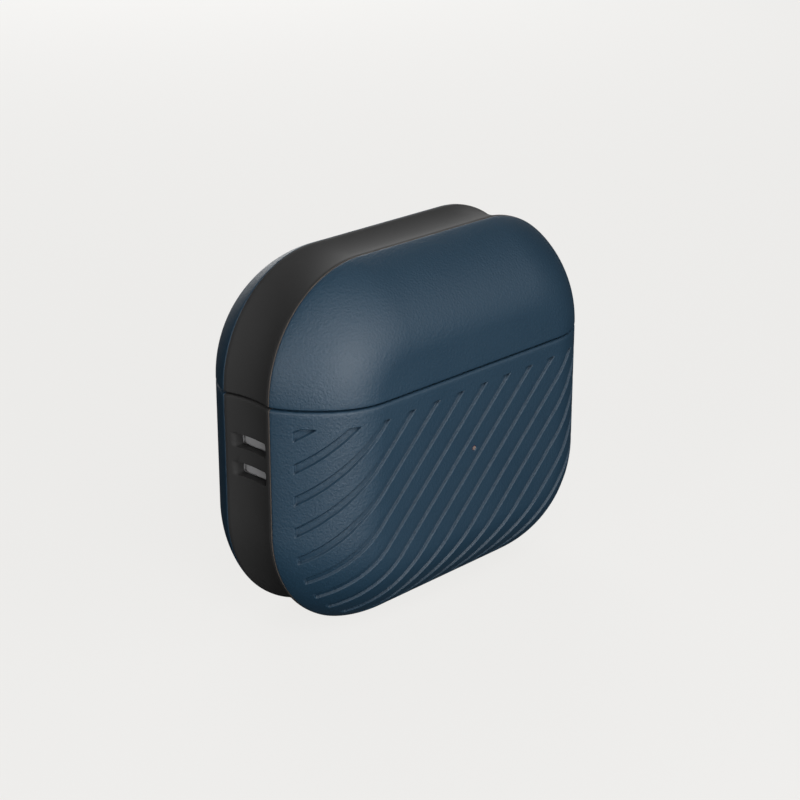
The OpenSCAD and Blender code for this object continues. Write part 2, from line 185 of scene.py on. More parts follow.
class Half:
    """The lid or the base: everything on one side of the seam, measured by t, the distance from the seam."""

    def __init__(self, seam, far, sign, fillet):
        self.seam = seam
        self.sign = sign
        self.far = abs(far - seam)
        self.core = self.far - CORNER_R
        self.fillet = fillet
        turn = np.linspace(0, math.pi / 2, LEAD_STEPS + 1)
        self.lead_ts = [*(fillet * (1 - np.cos(turn))), fillet + LEAD_FLAT]
        self.lead_end = self.lead_ts[-1]
        self.lead = len(self.lead_ts)

    def z(self, t):
        """The height at distance t from the seam."""
        return self.seam + self.sign * np.asarray(t)

    def inset(self, t):
        """How far the surface stands back, t from the seam, for the edge's round."""
        short = np.clip(self.fillet - np.asarray(t, float), 0, self.fillet)
        return self.fillet - np.sqrt(np.maximum(self.fillet**2 - short**2, 0))

    def ring(self, e):
        """Points (x, t) at distance e in from the outline, from one end of the seam round to the other."""
        r = CORNER_R - e
        ts = list(self.lead_ts)
        if self.core > self.lead_end:
            ts += list(np.linspace(self.lead_end, self.core, STRAIGHTS + 1))[1:]
        xs = [CORE_X + math.sqrt(r**2 - max(t - self.core, 0) ** 2) for t in ts]
        first = math.asin(max(self.lead_end - self.core, 0) / r)
        turn = np.linspace(first, math.pi / 2, TURNS + 1)[1:]
        side = [*zip(xs, ts), *zip(CORE_X + r * np.cos(turn), self.core + r * np.sin(turn))]
        middle = [(x, self.far - e) for x in np.linspace(CORE_X, -CORE_X, FLATS + 1)[1:-1]]
        return np.array([*side, *middle, *((-x, t) for x, t in reversed(side))])

    def edge_distance(self, x, t):
        """Distance in from the outline, and the inward direction, at points of the face."""
        dx, dt = np.abs(x) - CORE_X, t - self.core
        corner = (dx > 0) & (dt > 0)
        rho = np.hypot(dx, dt)
        e = np.where(corner, CORNER_R - rho, CORNER_R - np.maximum(dx, dt))
        safe = np.maximum(rho, 1e-9)
        side = dx >= dt
        nx = np.where(corner, -np.sign(x) * dx / safe, np.where(side, -np.sign(x), 0))
        nt = np.where(corner, -dt / safe, np.where(side, 0, -1))
        return np.maximum(e, 0), nx, nt


BASE = Half(BASE_TOP, 0.0, -1, BASE_SEAM_ROUND)
LID = Half(LID_BOTTOM, HEIGHT, 1, LID_SEAM_ROUND)


# ---- Building meshes ----

SMOOTH = 30.0  # degrees between two faces up to which their shading runs on
GROOVED_SMOOTH = 50.0  # the same for the grooved shell
WELD = 2e-4  # points nearer than this become one
SLIVER = 1e-5  # edges shorter than this go


class Mesh:
    """Collects points (millimetres) and faces, then makes one object from them."""

    def __init__(self):
        self.points = []
        self.faces = []

    def add(self, points):
        first = len(self.points)
        self.points.extend([tuple(float(c) for c in p) for p in points])
        return list(range(first, first + len(points)))

    def grid(self, rows, wrap=False):
        """Quads between rows of point numbers, all of one length."""
        for a, b in zip(rows, rows[1:]):
            count = len(a)
            for i in range(count if wrap else count - 1):
                j = (i + 1) % count
                corners = tuple(dict.fromkeys((a[i], a[j], b[j], b[i])))
                if len(corners) > 2:
                    self.faces.append(corners)

    def fan(self, ring):
        self.faces.append(tuple(ring))

    def make(self, name, smooth=SMOOTH):
        mesh = bpy.data.meshes.new(name)
        mesh.from_pydata([tuple(c * MM for c in p) for p in self.points], [], self.faces)
        work = bmesh.new()
        work.from_mesh(mesh)
        bmesh.ops.remove_doubles(work, verts=work.verts, dist=WELD * MM)
        bmesh.ops.dissolve_degenerate(work, edges=work.edges, dist=SLIVER * MM)
        bmesh.ops.recalc_face_normals(work, faces=work.faces)
        work.to_mesh(mesh)
        work.free()
        shade(mesh, smooth)
        piece = bpy.data.objects.new(name, mesh)
        bpy.context.scene.collection.objects.link(piece)
        return piece


def shade(mesh, angle):
    """Smooth shading, with the edges sharper than angle degrees kept sharp."""
    for face in mesh.polygons:
        face.use_smooth = True
    mesh.set_sharp_from_angle(angle=math.radians(angle))


def cut(piece, cutters, smooth=SMOOTH):
    """Takes closed cutter objects out of a piece, and deletes the cutters."""
    for cutter in cutters:
        modifier = piece.modifiers.new("cut", "BOOLEAN")
        modifier.operation = "DIFFERENCE"
        modifier.solver = "EXACT"
        modifier.object = cutter
    graph = bpy.context.evaluated_depsgraph_get()
    made = bpy.data.meshes.new_from_object(piece.evaluated_get(graph))
    old = piece.data
    piece.modifiers.clear()
    piece.data = made
    bpy.data.meshes.remove(old)
    for cutter in cutters:
        bpy.data.objects.remove(cutter)
    shade(made, smooth)
    return piece


def half_points(half, side, x, t, y):
    """Points from (x, t) and the distance from the middle plane, on the front (-1) or back (1) side."""
    return np.column_stack([x, side * np.asarray(y), half.z(t)])


def surface(half, side, x, t, sink):
    """The outer surface over points of the face, sunk along its normal."""
    e, nx, nt = half.edge_distance(x, t)
    out, up = edge_slope(e)
    y = edge_height(e) - up * sink
    return half_points(half, side, x + nx * out * sink, t + nt * out * sink, y)


# ---- Grooves ----


GROOVE_STEP = GROOVE_PITCH * math.sin(GROOVE_SLOPE)  # from one groove to the next, across them
# A wall is (how far it reaches outside its nominal edge, how far inside, how much of it is rounding at
# either end). A groove's lower right wall slopes, and its upper left wall and its top are well rounded.
SLOPED, ROUNDED, END = (0.04, 0.20, 0.2), (0.10, 0.12, 0.5), (0.16, 0.05, 0.4)
WALL_STEPS = np.array([-0.15, 0, 0.1, 0.2, 0.35, 0.5, 0.65, 0.8, 0.9, 1.0, 1.15])
PATTERN_EDGE = 1.25 * END[0]  # how far outside its nominal outline the pattern's mesh goes


def across(x, z):
    """Distance across the grooves, 0 on the lower right edge of the middle one."""
    return -(x - GROOVE_FIRST_X) * math.sin(GROOVE_SLOPE) + (z - GROOVE_TOP) * math.cos(GROOVE_SLOPE)


def along_to_xz(s, u):
    """The point at distance s across the grooves and u along them."""
    x = GROOVE_FIRST_X - s * math.sin(GROOVE_SLOPE) + u * math.cos(GROOVE_SLOPE)
    z = GROOVE_TOP + s * math.cos(GROOVE_SLOPE) + u * math.sin(GROOVE_SLOPE)
    return x, z


def wall(inside, form):
    """0 outside a groove's edge and 1 on its floor, from the distance inside: a slope with rounded ends."""
    out, reach, bend = form
    v = np.clip((inside + out) / (out + reach), 0, 1)
    low = v**2 / (2 * bend * (1 - bend))
    high = 1 - (1 - v) ** 2 / (2 * bend * (1 - bend))
    return np.where(v < bend, low, np.where(v > 1 - bend, high, (v - bend / 2) / (1 - bend)))


def wall_lines(form):
    """Distances inside an edge at which the mesh needs lines along its wall."""
    return (form[0] + form[1]) * WALL_STEPS - form[0]


def groove_depth(half, x, t):
    """How deep the pattern is at points of the face."""
    z = half.z(t)
    u = np.mod(across(x, z) + GROOVE_STEP / 2 - GROOVE_W / 2, GROOVE_STEP) - GROOVE_STEP / 2
    e, _, _ = half.edge_distance(x, t)
    ends = wall(e - GROOVE_MARGIN, END) * wall(GROOVE_TOP - z, ROUNDED)
    return GROOVE_DEEP * wall(GROOVE_W / 2 + u, SLOPED) * wall(GROOVE_W / 2 - u, ROUNDED) * ends


def groove_lines():
    """Distances across one step of the pattern at which the mesh needs an edge."""
    floor_middle = GROOVE_W * 0.6
    land = np.linspace(GROOVE_W + 0.14, GROOVE_STEP - 0.08, 6)[1:-1]
    return sorted([*wall_lines(SLOPED), floor_middle, *(GROOVE_W - wall_lines(ROUNDED)), *land])


# ---- Skins: one face of a shell, from its rim to its middle ----

PLAIN = (0.4, 0.9)  # flat margin kept round each big flat face, so that its shading stays flat


def edge_spots(run_in, steps):
    """Distances in from the outline of the rings down a skin that starts run_in inside it."""
    first = math.asin((RIM_ROUND / DOME) ** (1 / (2 * EDGE_POWER))) if run_in == 0 else 0.0
    theta = np.linspace(first, math.pi / 2, steps + 1)
    e = EDGE_RUN - (EDGE_RUN - run_in) * np.cos(theta)
    return [*e, *(EDGE_RUN + p for p in PLAIN)]


def lay_skin(mesh, half, rings, place, structured, fill):
    """Rings along the outline, strips along the seam, and the middle by fill.

    Returns the rings and the line along the seam.
    """
    spots = [half.ring(e) for e in rings]
    rows = [mesh.add(place(*ring.T)) for ring in spots[:structured]]
    mesh.grid(rows)
    strips = []
    for i in range(half.lead):
        xs = [ring[i, 0] for ring in spots[structured:]]
        inner = spots[-1][i, 0]
        middle = [inner * f for f in np.linspace(1, -1, FLATS + 1)[1:-1]]
        xs = np.array([*xs, *middle, *(-x for x in reversed(xs))])
        points = mesh.add(place(xs, np.full(len(xs), spots[-1][i, 1])))
        strips.append([rows[-1][i], *points, rows[-1][-1 - i]])
    mesh.grid(strips)
    fill(mesh, half, place, strips[-1], rows[-1][half.lead - 1:len(spots[0]) - half.lead + 1])
    seam = [*(row[0] for row in rows), *strips[0][1:-1], *(row[-1] for row in reversed(rows))]
    return rows, seam


def plain_fill(mesh, half, place, strip, ring):
    mesh.fan([*strip, *reversed(ring[1:-1])])


def groove_fill(mesh, half, place, strip, ring):
    """Triangles over the grooved face, with edges along every groove's walls."""
    loop = [*strip, *reversed(ring[1:-1])]
    flat = [Vector((mesh.points[i][0], half.sign * (mesh.points[i][2] - half.seam))) for i in loop]
    edges = [(i, (i + 1) % len(flat)) for i in range(len(flat))]
    for line in [*groove_runs(half), *margin_runs(half)]:
        first = len(flat)
        flat += [Vector(p) for p in line]
        edges += [(first + i, first + i + 1) for i in range(len(line) - 1)]
    flat += [Vector(p) for p in headroom_points(half)]
    spots, _, faces, *_ = geometry.delaunay_2d_cdt(flat, edges, [], 1, 1e-4, False)
    x, t = np.array([tuple(p) for p in spots]).T
    first = len(mesh.points)
    mesh.add(place(x, t))
    mesh.faces += [tuple(first + i for i in face) for face in faces]


RUN_STEP = 0.5  # between points along a groove
GROOVES = range(-12, 18)  # more than enough of them to cross the whole face
HALVINGS = 24  # to find where a groove ends


def pattern_inside(half, x, t):
    """How far inside the pattern's outline a point is."""
    e, _, _ = half.edge_distance(x, t)
    return np.minimum(e - GROOVE_MARGIN, GROOVE_TOP - half.z(t))


def groove_runs(half):
    """Lines along the grooves and the lands between them, cut off at the pattern's outer edge."""
    runs = []
    reach = HALF_W + HEIGHT
    u = np.arange(-reach, reach, RUN_STEP)
    for k in GROOVES:
        for line in groove_lines():
            s = k * GROOVE_STEP + line

            def inside(at):
                x, z = along_to_xz(s, at)
                return pattern_inside(half, x, (z - half.seam) * half.sign) + PATTERN_EDGE

            within = np.flatnonzero(inside(u) > 0)
            if len(within) < 2:
                continue
            ends = []
            for good, bad in ((u[within[0]], u[within[0] - 1]), (u[within[-1]], u[within[-1] + 1])):
                for _ in range(HALVINGS):
                    middle = (good + bad) / 2
                    good, bad = (middle, bad) if inside(middle) > 0 else (good, middle)
                ends.append(good)
            count = max(2, int((ends[1] - ends[0]) / RUN_STEP) + 1)
            x, z = along_to_xz(s, np.linspace(*ends, count))
            runs.append(list(zip(x, (z - half.seam) * half.sign)))
    return runs


def margin_runs(half):
    """Closed lines round the pattern, where the grooves' end walls are."""
    runs = []
    for level, top_level in zip(wall_lines(END), wall_lines(ROUNDED)):
        ring = half.ring(GROOVE_MARGIN + level)
        top = (GROOVE_TOP - top_level - half.seam) * half.sign
        side = [tuple(p) for p in ring if p[1] > top + 0.05]
        end = HALF_W - GROOVE_MARGIN - level
        across_top = [(x, top) for x in np.linspace(-end, end, int(2 * end / RUN_STEP) + 1)]
        runs.append([across_top[-1], *side, *across_top])
    return runs


def headroom_points(half):
    """Loose points over the plain strip between the seam and the grooves."""
    rows, columns, side = 2, 110, 1.9
    ts = np.linspace(half.lead_end + 0.45, half.seam - GROOVE_TOP - END[0] - 0.2, rows)
    xs = np.linspace(-HALF_W + side, HALF_W - side, columns)
    return [(x, t) for t in ts for x in xs]


def shell(name, half, side, grooved=False, steps=34):
    """A coloured shell: an outer skin, a rounded rim, an inner skin and a flat edge along the seam."""
    mesh = Mesh()
    outer = edge_spots(0, steps)

    def outside(x, t):
        sink = half.inset(t) + (groove_depth(half, x, t) if grooved else 0)
        return surface(half, side, x, t, sink)

    def inside(x, t):
        e, _, _ = half.edge_distance(x, t)
        across_room = np.clip((EDGE_RUN - e) / (EDGE_RUN - SHELL_T), 0, 1)
        rise = (DOME - SHELL_T) * (1 - across_room**2) ** EDGE_POWER
        return half_points(half, side, x, t, BAND_Y + rise)

    structured = sum(e < GROOVE_MARGIN - PATTERN_EDGE - 0.05 for e in outer) if grooved else len(outer)
    rows, seam = lay_skin(mesh, half, outer, outside, structured, groove_fill if grooved else plain_fill)
    inner = edge_spots(SHELL_T, steps)
    inner_rows, inner_seam = lay_skin(mesh, half, inner, inside, len(outer), plain_fill)

    rim = np.array([mesh.points[i] for i in rows[0]])
    rim_ring = half.ring(outer[0])
    _, nx, nt = half.edge_distance(*rim_ring.T)
    rounds = [rows[0]]
    for turn in np.linspace(0, math.pi / 2, RIM_STEPS + 1)[1:]:
        step = RIM_ROUND * (1 - math.cos(turn))
        y = side * BAND_Y + (rim[:, 1] - side * BAND_Y) * (1 - math.sin(turn))
        line = np.column_stack([rim[:, 0] + nx * step, y, rim[:, 2] + half.sign * nt * step])
        rounds.append(mesh.add(line))
    mesh.grid([*rounds, inner_rows[0]])

    ends = [[row[i] for row in reversed(rounds[1:])] for i in (0, -1)]
    seam = [*ends[0], *seam, *reversed(ends[1])]
    inner_seam = [*[inner_seam[0]] * len(ends[0]), *inner_seam, *[inner_seam[-1]] * len(ends[1])]
    mesh.grid([seam, inner_seam])
    return mesh.make(name, smooth=GROOVED_SMOOTH if grooved else SMOOTH)


# ---- Bands ----


def dish(y):
    """How far the band's face is hollowed, at y off the middle, with its lips blended in."""
    reach = BAND_Y - BAND_LIP
    arc = (reach**2 + BAND_DISH**2) / (2 * BAND_DISH)
    hollow = BAND_DISH - (arc - math.sqrt(arc**2 - min(abs(y), BAND_Y) ** 2))
    blend = 0.05
    return hollow if hollow > blend else max(hollow + blend, 0) ** 2 / (4 * blend)


def band(name, half):
    """A band swept along the outline: hollow face, two lips with rounded edges, flat back."""
    edge, bend = BAND_Y - RIM_ROUND, BAND_Y - BAND_LIP * 1.8
    face = [(dish(y), y, 1) for y in np.concatenate([
        np.linspace(-edge, -bend, 9)[:-1], np.linspace(-bend, bend, 21), np.linspace(bend, edge, 9)[1:]])]
    lip = [(RIM_ROUND * (1 - math.cos(q)), BAND_Y - RIM_ROUND * (1 - math.sin(q)), 1)
           for q in np.linspace(0, math.pi / 2, RIM_STEPS + 1)[1:]]
    other_lip = [(e, -y, moves) for e, y, moves in reversed(lip)]
    section = [*face, *lip, (BAND_T, BAND_Y, 0), (BAND_T, -BAND_Y, 0), *other_lip]
    mesh = Mesh()
    rows = []
    for e, y, moves in section:
        ring = half.ring(e)
        _, nx, nt = half.edge_distance(*ring.T)
        sink = half.inset(ring[:, 1]) * moves
        rows.append(mesh.add(np.column_stack([
            ring[:, 0] + nx * sink, np.full(len(ring), y), half.z(ring[:, 1] + nt * sink)])))
    mesh.grid([*rows, rows[0]])
    for i in (0, -1):
        mesh.fan([row[i] for row in rows])
    return mesh.make(name)


# ---- Simple solids: turned, extruded and plates ----


def circle(count):
    """Cosines and sines at even steps once round."""
    turn = np.arange(count) * 2 * math.pi / count
    return np.cos(turn), np.sin(turn)


def turned(mesh, profile, centre, axis="Z", count=64):
    """Turns a profile of (radius, height) about an axis through centre. Ends at radius 0 are closed."""
    c, s = circle(count)
    rows = []
    for r, h in profile:
        r = max(r, 1e-5)
        level = np.full(count, float(h))
        flat = {"Z": (r * c, r * s, level), "Y": (r * c, level, r * s), "X": (level, r * c, r * s)}[axis]
        rows.append(mesh.add(np.column_stack(flat) + np.array(centre)))
    mesh.grid(rows, wrap=True)
    for profile_end, row in ((profile[0], rows[0]), (profile[-1], rows[-1])):
        if profile_end[0] <= 1e-4:
            mesh.fan(row)
    return rows


def arc(centre, radius, start, end, steps=6):
    """Points (r, h) on an arc, with its angles in degrees."""
    return [(centre[0] + radius * math.cos(math.radians(a)), centre[1] + radius * math.sin(math.radians(a)))
            for a in np.linspace(start, end, steps + 1)]


def extruded(name, outline, x0, x1):
    """A prism along X from an outline of (y, z)."""
    mesh = Mesh()
    ends = [mesh.add([(x, y, z) for y, z in outline]) for x in (x0, x1)]
    mesh.grid(ends, wrap=True)
    mesh.fan(ends[0])
    mesh.fan(ends[1])
    return mesh.make(name)


def rod(name, axis, centre, radius, low, high, count=48):
    mesh = Mesh()
    turned(mesh, [(0, low), (radius, low), (radius, high), (0, high)], centre, axis, count)
    return mesh.make(name)


def stadium(length, width, count=16):
    """Outline points of a stadium, its length along the first axis, and their outward normals."""
    turn = np.linspace(-math.pi / 2, math.pi / 2, count + 1)
    c, s = np.cos(turn), np.sin(turn)
    r, shift = width / 2, (length - width) / 2
    end, normals = np.column_stack([shift + r * c, r * s]), np.column_stack([c, s])
    return np.concatenate([end, -end]), np.concatenate([normals, -normals])


def rounded(length, width, corner, count=8):
    """The same for a rectangle with round corners."""
    starts = np.arange(-1, 3) * math.pi / 2
    turn = np.concatenate([np.linspace(start, start + math.pi / 2, count + 1) for start in starts])
    normals = np.column_stack([np.cos(turn), np.sin(turn)])
    corners = np.repeat([(1, -1), (1, 1), (-1, 1), (-1, -1)], count + 1, axis=0)
    return corners * (length / 2 - corner, width / 2 - corner) + normals * corner, normals


def slot_cutter(outline, depth, flare, place, end_flare=None):
    """A plug whose mouth flares out at the surface, by end_flare at its +a end.

    place turns (a, b, depth) into a point.
    """
    points, normals = outline
    mesh = Mesh()
    above, wider = 0.6, 0.3  # how far the plug stands out of the surface, and how much it widens there
    flares = flare + ((end_flare or flare) - flare) * np.clip(normals[:, 0], 0, 1) ** 2
    rows = [mesh.add([place(*(p + n * (f + wider)), -above) for p, n, f in zip(points, normals, flares)])]
    for q in np.linspace(0, math.pi / 2, 8):
        rows.append(mesh.add([place(*(p + n * f * (1 - math.sin(q))), f * (1 - math.cos(q)))
                              for p, n, f in zip(points, normals, flares)]))
    rows.append(mesh.add([place(*p, depth) for p in points]))
    mesh.grid(rows, wrap=True)
    mesh.fan(rows[0])
    mesh.fan(rows[-1])
    return mesh.make("cutter")


def triangles(loops):
    """Triangles between an outer loop and its holes, as point numbers over all the loops in turn."""
    return geometry.tessellate_polygon([[Vector((x, y, 0)) for x, y in loop] for loop in loops])


def plate(mesh, loops, layers):
    """A flat plate from loops of ((x, y), outward normals); each layer is (z, how far the loops draw in)."""
    rows = []
    for z, draw in layers:
        rows.append([
            mesh.add([(x - nx * draw, y - ny * draw, z) for (x, y), (nx, ny) in zip(*loop)])
            for loop in loops])
    for lower, upper in zip(rows, rows[1:]):
        for a, b in zip(lower, upper):
            mesh.grid([a, b], wrap=True)
    return rows


def close_plate(mesh, rings):
    """Fills the area between an outer ring of points and its holes."""
    numbers = [i for ring in rings for i in ring]
    flat = [[mesh.points[i][:2] for i in ring] for ring in rings]
    mesh.faces += [tuple(numbers[i] for i in tri) for tri in triangles(flat)]


# ---- The coloured shells ----


def relief_cutter(half):
    """The V behind the hinge's axis that the swinging lid needs."""
    reach = 4.0
    rise = half.sign * reach * math.tan(RELIEF)
    corners = [(HINGE.y, SEAM_Z), (HINGE.y + reach, SEAM_Z), (HINGE.y + reach, SEAM_Z + rise)]
    return extruded("cutter", corners, -HALF_W - 1, HALF_W + 1)


def barrel_cutter():
    """The trough that the hinge's knuckles lie in."""
    half_length = HINGE_HALF + HINGE_ROOM
    return rod("cutter", "X", (0, HINGE.y, SEAM_Z), KNUCKLE_R + HINGE_ROOM, -half_length, half_length)


def button_hole_cutter():
    """A round hole with a softened mouth, and the wider room behind it for the button's flange."""
    hole_r, room_r, mouth = CAP_R + CAP_ROOM, FLANGE_R + 0.2, 0.12
    inner_y, step_y = 5, HALF_D - 0.8
    profile = [(0, inner_y), (room_r, inner_y), (room_r, step_y), (hole_r, step_y)]
    profile += [(hole_r + mouth * (1 - math.cos(q)), HALF_D - mouth * (1 - math.sin(q)))
                for q in np.linspace(0, math.pi / 2 - 0.15, 5)]
    profile += [(hole_r + mouth + 0.4, HALF_D + 0.5), (0, HALF_D + 0.5)]
    mesh = Mesh()
    turned(mesh, profile, (0, 0, BUTTON_Z), "Y")
    return mesh.make("cutter")


def light_hole_cutter():
    """The status light's hole, with a small bevel at its mouth."""
    mesh = Mesh()
    mouth, face, outside, inner = 0.08, -HALF_D, -HALF_D - 0.3, -HALF_D + 3
    profile = [(0, outside), (LIGHT_R + mouth + 0.2, outside), (LIGHT_R + mouth, face - 0.002)]
    profile += [(LIGHT_R, face + mouth), (LIGHT_R, inner), (0, inner)]
    turned(mesh, profile, (0, 0, LIGHT_Z), "Y")
    return mesh.make("cutter")


def base_front_cover():
    piece = shell("base_front_cover", BASE, -1, grooved=True)
    return cut(piece, [light_hole_cutter()], smooth=GROOVED_SMOOTH)


def base_back_cover():
    piece = shell("base_back_cover", BASE, 1)
    return cut(piece, [relief_cutter(BASE), barrel_cutter(), button_hole_cutter()])


def lid_front_cover():
    return shell("lid_front_cover", LID, -1)


def lid_back_cover():
    piece = shell("lid_back_cover", LID, 1)
    return cut(piece, [relief_cutter(LID), barrel_cutter()])


def base_edge_band():
    """The base's band, with two lanyard slots on the left and the port's opening underneath."""
    piece = band("base_edge_band", BASE)
    cutters, through = [], BAND_T + 0.5
    for side in (-1, 1):
        middle = SLOT_MID_Z + side * (BAR_H + SLOT_H) / 2

        def on_left(a, b, depth):
            return -HALF_W + dish(a - SLOT_BACK / 2) + depth, a - SLOT_BACK / 2, middle + b

        outline = rounded(SLOT_L - SLOT_BACK, SLOT_H, SLOT_CORNER)
        cutters.append(slot_cutter(outline, through, SLOT_ROUND, on_left, SLOT_ROUND + SLOT_BACK))

    def underneath(a, b, depth):
        return a, b, dish(b) + depth

    cutters.append(slot_cutter(stadium(PORT_L, PORT_H), through, PORT_ROUND, underneath))
    return cut(piece, cutters)


# ---- Inside the case, seen when the lid is open ----

WELL_STEPS = 96  # round a well


def bud_well(name, x):
    """A turned seat: rounded rim, bowl for the bud's head and bore for its stem."""
    rim = WELL_RIM_R - WELL_WALL
    deep = DECK_HIGH - BOWL_Z

    def bowl(grow, first, last, steps=20):
        return [(STEM_R + grow + (rim - STEM_R) * math.sin(a), DECK_HIGH - deep * math.cos(a))
                for a in np.linspace(first, last, steps)]

    lip, mouth, edge, heel, floor_t = 0.3, 0.3, 0.08, 0.4, 1
    profile = [(0, BORE_Z), *arc((STEM_R - heel, BORE_Z + heel), heel, -90, 0)]
    profile += [*arc((STEM_R + mouth, BOWL_Z - mouth), mouth, 180, 95)]
    profile += bowl(0, math.asin(mouth / (rim - STEM_R)), math.acos(lip / deep))
    profile += [*arc((rim + lip, DECK_HIGH - lip), lip, 180, 90)]
    profile += [*arc((WELL_RIM_R - edge, DECK_HIGH - edge), edge, 90, 0, 3)]
    profile += bowl(WELL_WALL, math.pi / 2 - 0.02, 0)
    profile += [(STEM_R + WELL_WALL, BORE_Z - floor_t), (0, BORE_Z - floor_t)]
    mesh = Mesh()
    turned(mesh, profile, (x, 0, 0), "Z", WELL_STEPS)
    piece = mesh.make(name)
    low, high = BORE_Z - floor_t - 1, BORE_Z + 1
    holes = [rod("cutter", "Z", (x, y, 0), PIN_HOLE_R, low, high) for y in (-PIN_HOLE_Y, PIN_HOLE_Y)]
    return cut(piece, holes)


def room_outline(clear, steps=30):
    """Plan of the room inside the housing, drawn in by clear: points and outward normals."""
    run, deep = ROOM_RUN + clear, ROOM_DEEP + clear
    theta = np.linspace(0, math.pi / 2, steps + 1)
    x = HALF_W - EDGE_RUN + (EDGE_RUN - run) * np.cos(theta)
    y = BAND_Y + (DOME - deep) * np.sin(theta) ** (2 * EDGE_POWER)
    quarter = np.column_stack([x, y])
    back = quarter[::-1]
    points = np.concatenate([quarter, back * (-1, 1), quarter * (-1, -1), back * (1, -1)])
    around = np.roll(points, -1, axis=0) - np.roll(points, 1, axis=0)
    normals = np.column_stack([around[:, 1], -around[:, 0]])
    return points, normals / np.linalg.norm(normals, axis=1)[:, None]


def hole_loop(x, radius):
    """A round hole's points, and the normals that point into it."""
    c, s = circle(WELL_STEPS)
    return np.column_stack([x + radius * c, radius * s]), np.column_stack([-c, -s])


def round_over(z, size, up=1, steps=4):
    """Plate layers that round an edge off: (z, how far drawn in), ending on the flat at z."""
    return [(z - up * size * (1 - math.sin(q)), size * (1 - math.cos(q)))
            for q in np.linspace(0, math.pi / 2, steps + 1)]


def deck_plate():
    """The plate round the wells, with its top edges rounded."""
    mesh = Mesh()
    clear = 0.05
    loops = [room_outline(clear), *(hole_loop(x, WELL_RIM_R + clear) for x in (-WELL_X, WELL_X))]
    layers = [(DECK_LOW, 0), *round_over(DECK_HIGH, 0.12), (DECK_HIGH, 0.4)]
    rows = plate(mesh, loops, layers)
    close_plate(mesh, rows[0])
    close_plate(mesh, rows[-1])
    return mesh.make("deck_plate")


def lid_lining():
    """The plate in the lid and its two hollows over the buds' heads."""
    mesh = Mesh()
    low, high = LID_BOTTOM + 0.1, LID_BOTTOM + 1.3
    rim, top, lip = WELL_RIM_R - WELL_WALL, 45.0, 0.4  # top is the hollows' highest point
    outline = plate(mesh, [room_outline(0.2)], [
        (low, 0.6), *reversed(round_over(low, 0.15, up=-1)), (high, 0)])
    under, over = [outline[0][0]], [outline[-1][0]]
    for x in (-WELL_X, WELL_X):
        hollow = [(rim + lip + 0.4, low), *arc((rim + lip, low + lip), lip, 270, 180)]
        hollow += [(rim * math.cos(a), low + (top - low) * math.sin(a))
                   for a in np.linspace(0.05, math.pi / 2, 24)]
        under.append(turned(mesh, hollow, (x, 0, 0), "Z", WELL_STEPS)[0])
        dome = np.linspace(0.13, math.pi / 2, 20)
        outside = [(rim + WELL_WALL) * math.cos(a) for a in dome]
        heights = [high, *(low + (top + WELL_WALL - low) * math.sin(a) for a in dome[1:])]
        over.append(turned(mesh, list(zip(outside, heights)), (x, 0, 0), "Z", WELL_STEPS)[0])
    close_plate(mesh, under)
    close_plate(mesh, over)
    return mesh.make("lid_lining")


def button_cap():
    """The pairing button: stem, flange, and a cap with a rounded edge and a slightly hollow face."""
    low, high = node_box("pairing_button")
    stem_r, flange_y, cap_y, edge = 1.1, HALF_D - SHELL_T + 0.05, high.y - 0.75, 0.25
    hollow, hollow_r = 0.12, 2.0
    profile = [(0, low.y), (stem_r, low.y), (stem_r, flange_y), (FLANGE_R, flange_y), (FLANGE_R, cap_y)]
    profile += [(CAP_R, cap_y), *arc((CAP_R - edge, high.y - edge), edge, 0, 90)]
    profile += [(r, high.y - hollow * (1 - (r / hollow_r) ** 2)) for r in (1.9, 1.5, 1.0, 0.5, 0.0)]
    mesh = Mesh()
    turned(mesh, profile, (0, 0, BUTTON_Z), "Y")
    return mesh.make("button_cap")


# ---- Materials ----


